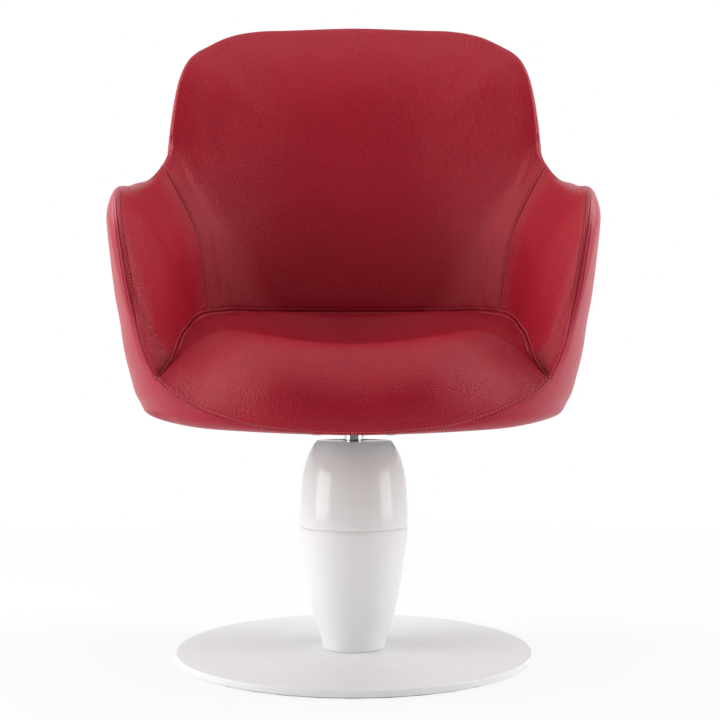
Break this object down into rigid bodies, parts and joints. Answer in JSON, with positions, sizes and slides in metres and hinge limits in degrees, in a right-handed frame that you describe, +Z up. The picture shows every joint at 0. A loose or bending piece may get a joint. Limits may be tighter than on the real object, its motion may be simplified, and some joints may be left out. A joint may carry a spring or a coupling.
{
  "type": "pedestal swivel armchair",
  "caption": "Leather tub armchair with a high curved back, turning on a short post in a white vase-shaped pedestal with a flat round foot.",
  "frame": {"origin": "centre of the foot, on the floor, on the swivel axis", "axes": "+Z up along the swivel axis, -Y is where the sitter faces, +X is to the right in the front view"},
  "size_m": [0.6706, 0.6026, 0.9768],
  "materials": {
    "red_leather": "grained, satin sheen",
    "red_outer_leather": "smooth grain, soft sheen",
    "upholstery_foam": "matt moulded foam",
    "shell_foam": "matt moulded shell",
    "plywood": "sanded",
    "black_cloth": "matt non-woven",
    "gloss_white": "high gloss",
    "satin_white": "satin",
    "white_coat": "satin powder coat",
    "chrome_plate": "polished",
    "bare_steel": "turned",
    "zinc_steel": "zinc plated",
    "acetal": "smooth",
    "felt": "matt felt"
  },
  "bodies": {
    "base": {"floor_pad": "felt", "base_plate": "white_coat", "column_flange": "bare_steel", "column_tube": "bare_steel", "lower_bush": "acetal", "upper_bush": "acetal", "thrust_washer_lower": "bare_steel", "pedestal_lower_cover": "satin_white", "pedestal_upper_cover": "gloss_white", "base_screw_1": "zinc_steel", "base_screw_2": "zinc_steel", "base_screw_3": "zinc_steel", "base_screw_4": "zinc_steel"},
    "ball_cage": {"ball_cage": "acetal", "bearing_ball_1": "chrome_plate", "bearing_ball_2": "chrome_plate", "bearing_ball_3": "chrome_plate", "bearing_ball_4": "chrome_plate", "bearing_ball_5": "chrome_plate", "bearing_ball_6": "chrome_plate", "bearing_ball_7": "chrome_plate", "bearing_ball_8": "chrome_plate"},
    "chair": {"thrust_washer_upper": "bare_steel", "spindle": "chrome_plate", "retaining_ring": "bare_steel", "mounting_plate": "bare_steel", "seat_hub": "bare_steel", "seat_board": "plywood", "tub_shell": "shell_foam", "seat_foam": "upholstery_foam", "back_foam": "upholstery_foam", "left_arm_foam": "upholstery_foam", "right_arm_foam": "upholstery_foam", "seat_cover": "red_leather", "back_cover": "red_leather", "left_arm_cover": "red_leather", "right_arm_cover": "red_leather", "outer_cover_left": "red_outer_leather", "outer_cover_right": "red_outer_leather", "outer_cover_back": "red_outer_leather", "underside_cover": "black_cloth", "seat_bolt_1": "zinc_steel", "insert_nut_1": "zinc_steel", "seat_bolt_2": "zinc_steel", "insert_nut_2": "zinc_steel", "seat_bolt_3": "zinc_steel", "insert_nut_3": "zinc_steel", "seat_bolt_4": "zinc_steel", "insert_nut_4": "zinc_steel"}
  },
  "joints": [
    {"name": "seat_swivel", "type": "hinge", "parent": "base", "child": "chair", "pos_m": [0, 0, 0], "axis": [0, 0, 1], "continuous": true},
    {"name": "ball_cage_spin", "type": "hinge", "parent": "base", "child": "ball_cage", "pos_m": [0, 0, 0], "axis": [0, 0, 1], "continuous": true}
  ],
  "couplings": [
    {"joint": "ball_cage_spin", "follows": "seat_swivel", "ratio": 0.5}
  ]
}
